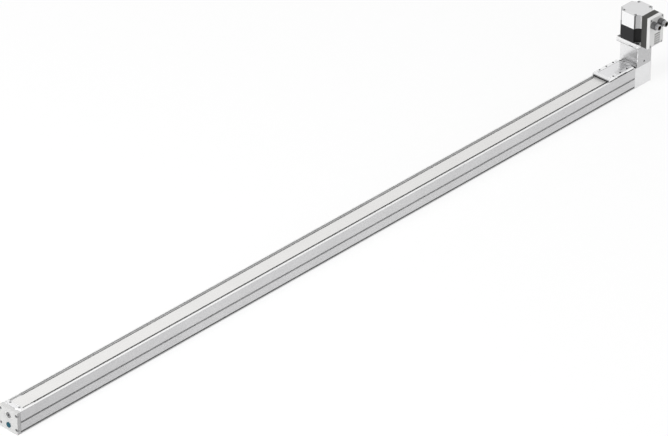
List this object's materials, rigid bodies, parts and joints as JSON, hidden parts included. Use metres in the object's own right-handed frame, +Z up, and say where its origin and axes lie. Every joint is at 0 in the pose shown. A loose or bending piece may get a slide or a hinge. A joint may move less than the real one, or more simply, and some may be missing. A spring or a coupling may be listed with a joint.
{
  "type": "belt driven linear axis",
  "caption": "Long slim belt driven linear axis: extruded profile with a steel cover strip, an outer slide on an inner ball rail, and an upright motor with an electronics box at one end",
  "frame": {"origin": "Middle of the profile's underside, at half its length and half its width.", "axes": "+X runs along the profile to the drive end, +Z is up through the slide's top, and -Y is the side of the electronics module and its connectors."},
  "size_m": [1.6904, 0.0902, 0.1606],
  "materials": {
    "anodised": "satin anodised",
    "housing_alu": "fine matt blasted",
    "slide_alu": "satin anodised",
    "inlay_steel": "smooth bright sheet",
    "strip_steel": "bright cold-rolled strip",
    "rail_steel": "ground",
    "shaft_steel": "ground",
    "bearing_steel": "polished",
    "screws": "zinc plated",
    "lamination": "satin black sheet stack",
    "module_plastic": "fine textured",
    "module_cover": "satin grey",
    "board": "coated board",
    "connector_metal": "dark nickel",
    "black_plastic": "moulded",
    "contact_brass": "plated",
    "teal_plastic": "moulded",
    "buffer_rubber": "moulded",
    "belt_rubber": "moulded",
    "runner_plastic": "moulded",
    "spider_rubber": "moulded",
    "magnet": "nickel plated"
  },
  "bodies": {
    "axis_frame": {"profile": "anodised", "guide_rail": "rail_steel", "rail_screws": "screws", "cover_strip": "strip_steel", "strip_clamps": "housing_alu", "strip_clamp_screws": "screws", "end_cap": "anodised", "end_cap_screws": "screws", "port_plug": "teal_plastic", "tension_screw": "screws", "drive_head": "anodised", "drive_head_screws": "screws", "coupling_housing": "housing_alu", "housing_screws": "screws", "adapter_plate": "housing_alu", "plate_screws": "screws", "motor_flange": "housing_alu", "flange_screws": "screws", "motor_stator": "lamination", "motor_rear_cap": "housing_alu", "rear_cap_screws": "screws", "module_body": "module_plastic", "module_cover": "module_cover", "module_screws": "screws", "circuit_board": "board", "connectors": "connector_metal", "connector_inserts": "black_plastic", "connector_pins": "contact_brass", "bearing_outer_rings": "bearing_steel", "drive_buffer": "buffer_rubber", "toothed_belt": "belt_rubber"},
    "slide": {"slide_table": "slide_alu", "slide_plate": "inlay_steel", "slide_screws": "inlay_steel", "carriage": "anodised", "runner_block": "rail_steel", "runner_end_caps": "runner_plastic", "runner_balls": "bearing_steel", "runner_screws": "screws", "belt_clamp": "anodised", "belt_clamp_screws": "screws", "strip_wipers": "black_plastic"},
    "drive_train": {"drive_pulley": "rail_steel", "drive_shaft": "shaft_steel", "coupling_hubs": "rail_steel", "coupling_spider": "spider_rubber", "coupling_screws": "screws", "motor_shaft": "shaft_steel", "motor_rotor": "lamination", "encoder_magnet": "magnet", "bearing_inner_rings": "bearing_steel", "bearing_balls": "bearing_steel"},
    "tensioner": {"idler_carrier": "anodised", "idler_axle": "shaft_steel", "idler_bearing_inner_rings": "bearing_steel", "idler_buffer": "buffer_rubber"},
    "idler": {"idler_pulley": "rail_steel", "idler_bearing_outer_rings": "bearing_steel", "idler_balls": "bearing_steel"}
  },
  "joints": [
    {"name": "slide_travel", "type": "slide", "parent": "axis_frame", "child": "slide", "axis": [1, 0, 0], "range_m": [-1.5, 0], "deforming": ["toothed_belt"]},
    {"name": "drive_spin", "type": "hinge", "parent": "axis_frame", "child": "drive_train", "pos_m": [0.84, 0, 0.032], "axis": [0, 0, 1], "range_deg": [-9001, 0], "deforming": ["toothed_belt"]},
    {"name": "tension_adjust", "type": "slide", "parent": "axis_frame", "child": "tensioner", "axis": [1, 0, 0], "range_m": [0, 0.003], "deforming": ["toothed_belt"]},
    {"name": "idler_spin", "type": "hinge", "parent": "tensioner", "child": "idler", "pos_m": [-0.789, 0, 0.032], "axis": [0, 0, 1], "range_deg": [-9001, 0], "deforming": ["toothed_belt"]}
  ],
  "couplings": [
    {"joint": "drive_spin", "follows": "slide_travel", "rad_per_m": 104.72},
    {"joint": "idler_spin", "follows": "slide_travel", "rad_per_m": 104.72}
  ]
}
